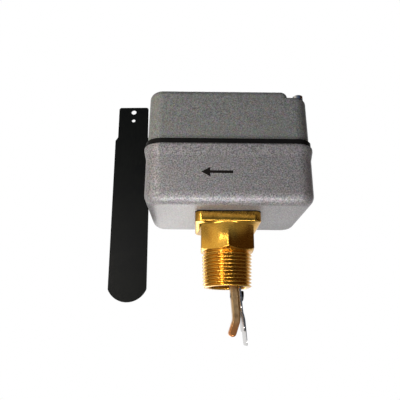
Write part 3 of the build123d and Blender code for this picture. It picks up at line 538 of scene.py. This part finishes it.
# slotted screws: one tree, whose places come from the solids of the CAD node that it stands for
screwShape = {  # shares of the head's or the shank's own size
    "Slot width": 0.16, "Slot depth": 0.42, "Dome": 0.22, "Thread depth": 0.11, "Pitch": 0.18, "Core": 0.84,
}
screwDetail = {
    "headSides": 48, "headRings": 6, "domePower": 2.6, "slotReach": 2.4, "shankSides": 32, "coilSteps": 20,
    "coilMargin": 1.2,
}
screws = {  # sizes in mm; thread is the threaded length from the tip
    "cover_screws": {"head": 7.4, "headHeight": 3.2, "shank": 4.0, "thread": 16.0, "turn": 35},
    "flange_screws": {"head": 8.4, "headHeight": 3.0, "shank": 5.0, "thread": 5.0, "turn": 20},
    "bridge_screws": {"head": 5.5, "headHeight": 2.0, "shank": 3.0, "thread": 3.0, "turn": 10},
    "bracket_screws": {"head": 7.0, "headHeight": 2.4, "shank": 4.0, "thread": 3.0, "turn": 75},
    "switch_screws": {"head": 7.0, "headHeight": 2.6, "shank": 4.0, "thread": 5.0, "turn": 45},
    "terminal_screws": {
        "head": 6.4, "headHeight": 2.2, "shank": 3.5, "thread": 4.0, "turn": 30, "axis": (1, 0, 0),
    },
    "lever_screws": {"head": 5.5, "headHeight": 1.8, "shank": 3.0, "thread": 3.0, "turn": 60},
    "earth_screw": {"head": 7.6, "headHeight": 2.6, "shank": 4.0, "thread": 5.0, "turn": 15},
    "range_screw": {"head": 8.0, "headHeight": 3.2, "shank": 4.0, "thread": 21.0, "turn": 25},
    "paddle_screw": {
        "head": 6.8, "headHeight": 2.3, "shank": 4.0, "thread": 4.0, "turn": 0, "axis": (1, 0, 0),
        "lean": 4.3,
    },
}


def looseParts(name):  # corner points of each solid of a CAD node
    form = bmesh.new()
    form.from_mesh(nodes[name].data)
    bmesh.ops.remove_doubles(form, verts=form.verts, dist=sameSpot)
    found, solids = set(), []
    for seed in form.verts:
        if seed in found:
            continue
        found.add(seed)
        points, waiting = [], [seed]
        while waiting:
            vert = waiting.pop()
            points.append(vert.co.copy())
            fresh = [v for v in (e.other_vert(vert) for e in vert.link_edges) if v not in found]
            found.update(fresh)
            waiting.extend(fresh)
        solids.append(points)
    form.free()
    return solids


def screwHead(tree, size):  # domed and slotted, standing on zero
    height, radius = size["Head height"], size["Head radius"]
    head = addNode(
        tree, "GeometryNodeMeshCylinder", Vertices=screwDetail["headSides"], Side_Segments=2,
        Fill_Segments=screwDetail["headRings"], Radius=radius, Depth=height,
    ).outputs["Mesh"]
    spot = splitVector(tree, tree.nodes.new("GeometryNodeInputPosition").outputs[0])
    share = divide(tree, vectorLength(tree, joinVector(tree, X=spot["X"], Y=spot["Y"])), radius)
    isTop = calc(tree, "GREATER_THAN", spot["Z"], times(tree, height, 0.4))
    dome = calc(tree, "POWER", share, screwDetail["domePower"])
    sink = times(tree, dome, times(tree, size["Dome"], height))
    rise = calc(tree, "MULTIPLY_ADD", isTop, times(tree, sink, -1.0), times(tree, height, 0.5))
    lift = joinVector(tree, Z=rise)
    head = addNode(tree, "GeometryNodeSetPosition", Geometry=head, Offset=lift).outputs[0]
    slotSize = joinVector(
        tree, X=times(tree, radius, screwDetail["slotReach"]),
        Y=times(tree, radius, times(tree, size["Slot width"], 2.0)),
        Z=times(tree, height, times(tree, size["Slot depth"], 2.0)),
    )
    cutter = raised(tree, addNode(tree, "GeometryNodeMeshCube", Size=slotSize).outputs["Mesh"], height)
    slotted = tree.nodes.new("GeometryNodeMeshBoolean")
    slotted.operation = "DIFFERENCE"
    tree.links.new(head, slotted.inputs[0])
    tree.links.new(cutter, slotted.inputs[1])
    return slotted.outputs[0]


def screwShank(tree, size):  # plain part, core and thread ridge, hanging down from zero
    length, threaded, radius = size["Length"], size["Thread length"], size["Shank radius"]
    tip, sides, margin = times(tree, length, -1.0), screwDetail["shankSides"], screwDetail["coilMargin"]
    plainLength = minus(tree, length, threaded)
    plain = addNode(tree, "GeometryNodeMeshCylinder", Vertices=sides, Radius=radius, Depth=plainLength)
    plain = raised(tree, plain.outputs["Mesh"], times(tree, plainLength, -0.5))
    coreRadius = times(tree, radius, size["Core"])
    core = addNode(tree, "GeometryNodeMeshCylinder", Vertices=sides, Radius=coreRadius, Depth=threaded)
    core = raised(tree, core.outputs["Mesh"], calc(tree, "MULTIPLY_ADD", threaded, 0.5, tip))
    pitch = times(tree, radius, times(tree, size["Pitch"], 2.0))
    ridgeRadius = times(tree, radius, size["Thread depth"])
    rise = minus(tree, threaded, times(tree, ridgeRadius, 2 * margin))
    coilRadius = minus(tree, radius, ridgeRadius)
    coil = addNode(
        tree, "GeometryNodeCurveSpiral", Resolution=screwDetail["coilSteps"],
        Rotations=divide(tree, rise, pitch), Start_Radius=coilRadius, End_Radius=coilRadius, Height=rise,
    ).outputs[0]
    section = addNode(tree, "GeometryNodeCurvePrimitiveCircle", Resolution=4, Radius=ridgeRadius).outputs[0]
    ridge = addNode(tree, "GeometryNodeCurveToMesh", i0=coil, i1=section, Fill_Caps=True).outputs[0]
    ridge = raised(tree, ridge, calc(tree, "MULTIPLY_ADD", ridgeRadius, margin, tip))
    return plain, core, ridge


def screwTree():
    tree, size = newTree("slottedScrew", [
        ("Head radius", "Float"), ("Head height", "Float"), ("Dome", "Float"), ("Slot width", "Float"),
        ("Slot depth", "Float"), ("Shank radius", "Float"), ("Length", "Float"), ("Thread length", "Float"),
        ("Thread depth", "Float"), ("Pitch", "Float"), ("Core", "Float"), ("Turn", "Float"),
        ("Aim", "Vector"), ("Material", "Material"),
    ])
    whole = tree.nodes.new("GeometryNodeJoinGeometry")
    for part in (screwHead(tree, size), *screwShank(tree, size)):
        tree.links.new(part, whole.inputs[0])
    turn = joinVector(tree, Z=size["Turn"])
    turned = addNode(tree, "GeometryNodeTransform", Geometry=whole.outputs[0], Rotation=turn).outputs[0]
    stand = addNode(
        tree, "GeometryNodeInstanceOnPoints", Points=size["Places"], Instance=turned, Rotation=size["Aim"],
        Scale=(mm, mm, mm),
    ).outputs[0]
    closeTree(tree, stand, size["Material"])
    return tree


def screwPlaces(name, look):  # where each head seats, its direction, and the length under the head
    axis = Vector(look.get("axis", (0, 0, 1)))
    if "lean" in look:
        axis = Matrix.Rotation(math.radians(look["lean"]), 3, "Y") @ axis
    places, length = [], 0
    for points in looseParts(name):
        along = [p.dot(axis) for p in points]
        across = [p - axis * p.dot(axis) for p in points]
        low = Vector([min(p[i] for p in across) for i in range(3)])
        high = Vector([max(p[i] for p in across) for i in range(3)])
        middle = (low + high) / 2
        middle -= axis * middle.dot(axis)
        seat = max(along) - look["headHeight"] * mm
        places.append((middle + axis * seat) / mm)
        length = (seat - min(along)) / mm
    return places, axis, length


def makeScrews(tree, name, look):
    places, axis, length = screwPlaces(name, look)
    threaded = min(look["thread"], length - 0.5)
    values = {
        **screwShape, "Head radius": look["head"] / 2, "Head height": look["headHeight"],
        "Shank radius": look["shank"] / 2, "Length": length, "Thread length": threaded,
        "Turn": math.radians(look["turn"]), "Aim": tuple(axis.to_track_quat("Z", "X").to_euler()),
        "Material": finishes[nodeSlot[name]],
    }
    standFor(growPiece(name + "Slotted", tree, values, places, sharpAngle=40), name)


slottedScrew = screwTree()
for name, look in screws.items():
    makeScrews(slottedScrew, name, look)
print("screws made:", len(screws), "kinds")


# setting spring, in two lengths that meet: the lever's arm presses the lower one, the nut the upper one
rangeSpring = {"Turns": 7.0, "Wire": 0.5, "Closed turns": 0.7, "Steps": 24, "Wire sides": 12}
springPress = {"lowerShare": 0.68, "swing": 10.6, "nutTravel": 2.1}


def springTree():
    tree, size = newTree("coilSpring", [
        ("Turns", "Float"), ("Wire", "Float"), ("Radius", "Float"), ("Height", "Float"),
        ("Closed share", "Float"), ("Steps", "Int"), ("Material", "Material"),
    ])
    coil = addNode(
        tree, "GeometryNodeCurveSpiral", Resolution=size["Steps"], Rotations=size["Turns"],
        Start_Radius=size["Radius"], End_Radius=size["Radius"], Height=1.0,
    ).outputs[0]
    share = tree.nodes.new("GeometryNodeSplineParameter").outputs["Factor"]
    ends = {"i1": size["Closed share"], "i2": 1.0, "i3": 0.0, "i4": 1.0}
    climb = addNode(tree, "ShaderNodeMapRange", i0=share, **ends).outputs[0]
    dead = times(tree, minus(tree, share, climb), times(tree, size["Wire"], 2.0))
    rise = minus(tree, size["Height"], size["Wire"])
    level = plus(tree, times(tree, climb, rise), plus(tree, dead, size["Wire"]))
    spot = splitVector(tree, tree.nodes.new("GeometryNodeInputPosition").outputs[0])
    bent = joinVector(tree, X=spot["X"], Y=spot["Y"], Z=level)
    coil = addNode(tree, "GeometryNodeSetPosition", Geometry=coil, Position=bent).outputs[0]
    wire = addNode(
        tree, "GeometryNodeCurvePrimitiveCircle", Resolution=rangeSpring["Wire sides"], Radius=size["Wire"],
    ).outputs[0]
    skin = addNode(tree, "GeometryNodeCurveToMesh", i0=coil, i1=wire, Fill_Caps=True).outputs[0]
    stand = addNode(
        tree, "GeometryNodeInstanceOnPoints", Points=size["Places"], Instance=skin, Scale=(mm, mm, mm),
    ).outputs[0]
    closeTree(tree, stand, size["Material"])
    return tree


def makeSpringLength(tree, name, share, travel):  # travel is the arm's rise, or below 0 the nut's travel; only its sign is read, to turn the upper length over
    low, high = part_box("range_spring")
    centre = (low + high) / 2
    height, turns, wire = (high.z - low.z) * share, rangeSpring["Turns"] * share, rangeSpring["Wire"]
    values = {
        "Turns": turns, "Wire": wire, "Radius": (high.x - low.x) / 2 / mm - wire, "Height": height / mm,
        "Closed share": rangeSpring["Closed turns"] / turns, "Steps": rangeSpring["Steps"],
        "Material": finishes[nodeSlot["range_spring"]],
    }
    piece = growPiece(name, tree, values, [(centre.x / mm, centre.y / mm, low.z / mm)])
    meeting = Vector((centre.x, centre.y, low.z + height))
    if travel < 0:  # wound like the lower one, then turned over
        about = Matrix.Translation(centre)
        piece.data.transform(about @ Matrix.Rotation(math.pi, 4, "X") @ about.inverted())
        meeting.z = high.z - height
    standFor(piece, "range_spring")
    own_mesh(piece)


def makeRangeSpring():
    low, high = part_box("range_spring")
    armRise = max(-low.x, high.x) * math.sin(math.radians(springPress["swing"]))
    share, tree = springPress["lowerShare"], springTree()
    makeSpringLength(tree, "lowerSpring", share, armRise)
    makeSpringLength(tree, "upperSpring", 1 - share, -springPress["nutTravel"] * mm)


makeRangeSpring()
print("setting spring wound")


def makeBellows():
    piece = mergedCopy("sealing_bellows", "sealingBellows")
    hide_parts("sealing_bellows")
    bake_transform(piece)


makeBellows()
print("bellows fitted")


# gasket between the halves: the cover presses it a little thinner than it lies free
gasketSeat = {"level": 69.6, "reach": 0.35, "press": 0.8}


def pressGasket():
    for name in ("top_cover", "cover_gasket"):
        piece = mergedCopy(name, name + "Seated")
        for vert in piece.data.vertices:
            if abs(vert.co.z / mm - gasketSeat["level"]) < gasketSeat["reach"]:
                vert.co.z -= gasketSeat["press"] * mm
        standFor(piece, name)


pressGasket()
print("cover seated on its gasket")


# flow arrow, printed on the front of the case
flowArrow = {
    "tip": -18.5, "tail": 2.1, "level": 45.3, "headLength": 6.0, "headWidth": 6.6, "barb": 0.2,
    "shaftWidth": 1.9, "front": -39.0, "thickness": 0.04,
}


def makeFlowArrow():
    tip, tail = flowArrow["tip"], flowArrow["tail"]
    half, shaft = flowArrow["headWidth"] / 2, flowArrow["shaftWidth"] / 2
    back = tip + flowArrow["headLength"]
    neck = back - flowArrow["barb"]
    front, level = flowArrow["front"], flowArrow["level"]
    under = [(tip, 0), (back, -half), (neck, -shaft), (tail, -shaft)]
    outline = under + [(x, -z) for x, z in reversed(under[1:])]
    form = bmesh.new()
    face = form.faces.new([form.verts.new((x * mm, front * mm, (level + z) * mm)) for x, z in outline])
    extruded = bmesh.ops.extrude_face_region(form, geom=[face])
    for vert in [v for v in extruded["geom"] if isinstance(v, bmesh.types.BMVert)]:
        vert.co.y -= flowArrow["thickness"] * mm
    bmesh.ops.recalc_face_normals(form, faces=form.faces)
    mesh = bpy.data.meshes.new("flowArrow")
    form.to_mesh(mesh)
    form.free()
    piece = addObject("flowArrow", mesh, mouldedSkin("printInk", printInk))
    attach(piece, "housing")


makeFlowArrow()
print("flow arrow printed")


# studio: camera, lamps, white room and floor
studio = {
    "cameraPlace": (-20.3, -289.3, -54.7), "pitch": 17.88, "yaw": 0.28, "roll": 0.45, "lens": 37.68,
    "sensor": 36, "clip": (0.01, 20),
    "floorLevel": -620.0, "floorRadius": 1800.0, "floorSides": 96, "floorGrey": 0.7, "floorGlow": 0.72,
    "floorFade": (0.2, 0.9), "room": srgb(118, 122, 130), "coolSide": srgb(54, 74, 104),
    "leftWall": srgb(250, 238, 218), "rightWall": srgb(68, 48, 28), "paper": (1.0, 1.0, 1.0),
    "lightLevel": 0.36, "leftGlow": 1.4,
}
roomBands = {  # for one axis of the view: where a wall starts, where it is full, its share at either end
    "below": ("Z", -0.12, -0.5, 0, 0.3), "behind": ("Y", 0.3, 0.75, 0, 1),
    "left": ("X", -0.3, -0.85, 0, 1), "leftFront": ("Y", 0.05, -0.35, 0.35, 1),
    "right": ("X", 0.35, 0.8, 0, 1), "cool": ("X", -0.15, 0.35, 0, 1),
}
lamps = {
    "keyLamp": {
        "place": (-185, -335, 40), "target": (-20, 0, 40), "size": (36, 180), "power": 0.45,
        "colour": (1.0, 0.94, 0.86),
    },
    "lowLamp": {
        "place": (-130, 380, -260), "target": (-30, 20, 20), "size": (300, 240), "power": 0.95,
        "colour": (1.0, 0.98, 0.93),
    },
    "topLamp": {
        "place": (40, 360, 430), "target": (0, 0, 60), "size": (320, 240), "power": 1.2,
        "colour": (0.96, 0.98, 1.0),
    },
    "stripLamp": {
        "place": (-60, -270, -390), "target": (0, -30, 30), "size": (460, 70), "power": 2.1,
        "colour": (1.0, 0.97, 0.95),
    },
}


def aimedMatrix(place, pitch, yaw, roll):
    pitch, yaw, roll = (math.radians(v) for v in (pitch, yaw, roll))
    ahead = Vector((math.sin(yaw) * math.cos(pitch), math.cos(yaw) * math.cos(pitch), math.sin(pitch)))
    right = Vector((math.cos(yaw), -math.sin(yaw), 0))
    up = right.cross(ahead)
    turnedRight = math.cos(roll) * right + math.sin(roll) * up
    turnedUp = -math.sin(roll) * right + math.cos(roll) * up
    matrix = Matrix((turnedRight, turnedUp, -ahead)).transposed().to_4x4()
    matrix.translation = Vector(place) * mm
    return matrix


def makeCamera():
    data = bpy.data.cameras.new("photoCamera")
    data.sensor_width, data.lens = studio["sensor"], studio["lens"]
    data.clip_start, data.clip_end = studio["clip"]
    camera = bpy.data.objects.new("photoCamera", data)
    camera.matrix_world = aimedMatrix(studio["cameraPlace"], studio["pitch"], studio["yaw"], studio["roll"])
    bpy.context.scene.collection.objects.link(camera)
    bpy.context.scene.camera = camera


def makeLamp(name, setup):
    data = bpy.data.lights.new(name, "AREA")
    data.shape = "RECTANGLE"
    data.size, data.size_y = (v * mm for v in setup["size"])
    data.energy, data.color = setup["power"], setup["colour"]
    lamp = bpy.data.objects.new(name, data)
    lamp.location = Vector(setup["place"]) * mm
    aim = Vector(setup["target"]) - Vector(setup["place"])
    lamp.rotation_euler = aim.to_track_quat("-Z", "Y").to_euler()
    bpy.context.scene.collection.objects.link(lamp)


def makeWorld():  # white paper behind and below, a pale wall on the left, a dim room elsewhere
    world = bpy.data.worlds.new("studioRoom")
    world.use_nodes = True
    tree = world.node_tree
    tree.nodes.clear()
    way = splitVector(tree, tree.nodes.new("ShaderNodeTexCoord").outputs["Generated"])
    share = {key: smoothStep(tree, way[axis], *band) for key, (axis, *band) in roomBands.items()}
    left = times(tree, share["left"], share["leftFront"])
    colour = blendColours(tree, share["cool"], studio["room"], studio["coolSide"])
    colour = blendColours(tree, left, colour, studio["leftWall"])
    colour = blendColours(tree, share["right"], colour, studio["rightWall"])
    white = calc(tree, "MAXIMUM", share["below"], share["behind"])
    colour = blendColours(tree, white, colour, studio["paper"])
    path = tree.nodes.new("ShaderNodeLightPath")
    shown = calc(tree, "MAXIMUM", path.outputs["Is Camera Ray"], path.outputs["Is Transmission Ray"])
    mirrored = addNode(tree, "ShaderNodeBackground", Color=colour, Strength=1.0).outputs[0]
    level = calc(tree, "MULTIPLY_ADD", left, studio["leftGlow"], studio["lightLevel"])
    light = addNode(tree, "ShaderNodeBackground", Color=colour, Strength=level).outputs[0]
    paper = addNode(tree, "ShaderNodeBackground", Color=studio["paper"], Strength=1.0).outputs[0]
    isMirrored = path.outputs["Is Glossy Ray"]
    light = addNode(tree, "ShaderNodeMixShader", i0=isMirrored, i1=light, i2=mirrored).outputs[0]
    light = addNode(tree, "ShaderNodeMixShader", i0=shown, i1=light, i2=paper).outputs[0]
    tree.links.new(light, tree.nodes.new("ShaderNodeOutputWorld").inputs["Surface"])
    bpy.context.scene.world = world


def makeFloor():  # pale paper that fades out towards its rim, so that no view shows where it ends
    sides, radius, level = studio["floorSides"], studio["floorRadius"] * mm, studio["floorLevel"] * mm
    angles = [2 * math.pi * i / sides for i in range(sides)]
    rim = [(radius * math.cos(a), radius * math.sin(a), level) for a in angles]
    mesh = bpy.data.meshes.new("studioFloor")
    mesh.from_pydata(rim, [], [list(range(sides))])
    material, tree, shader = blankMaterial("floorPaper")
    shader.inputs["Base Color"].default_value = (*[studio["floorGrey"]] * 3, 1)
    shader.inputs["Roughness"].default_value = 0.8
    isSeen = tree.nodes.new("ShaderNodeLightPath").outputs["Is Camera Ray"]
    strength = times(tree, isSeen, studio["floorGlow"])
    glow = addNode(tree, "ShaderNodeEmission", Color=studio["paper"], Strength=strength)
    paper = addNode(tree, "ShaderNodeAddShader", i0=shader.outputs[0], i1=glow.outputs[0]).outputs[0]
    spot = splitVector(tree, objectPoint(tree))
    reach = vectorLength(tree, joinVector(tree, X=spot["X"], Y=spot["Y"]))
    fade = smoothStep(tree, reach, *(share * radius for share in studio["floorFade"]))
    clear = tree.nodes.new("ShaderNodeBsdfTransparent").outputs[0]
    faded = addNode(tree, "ShaderNodeMixShader", i0=fade, i1=paper, i2=clear).outputs[0]
    output = next(n for n in tree.nodes if n.type == "OUTPUT_MATERIAL")
    tree.links.new(faded, output.inputs["Surface"])
    addObject("studioFloor", mesh, material)


makeCamera()
for name, setup in lamps.items():
    makeLamp(name, setup)
makeWorld()
makeFloor()
bpy.context.scene.view_settings.view_transform = "Standard"
print("studio ready")
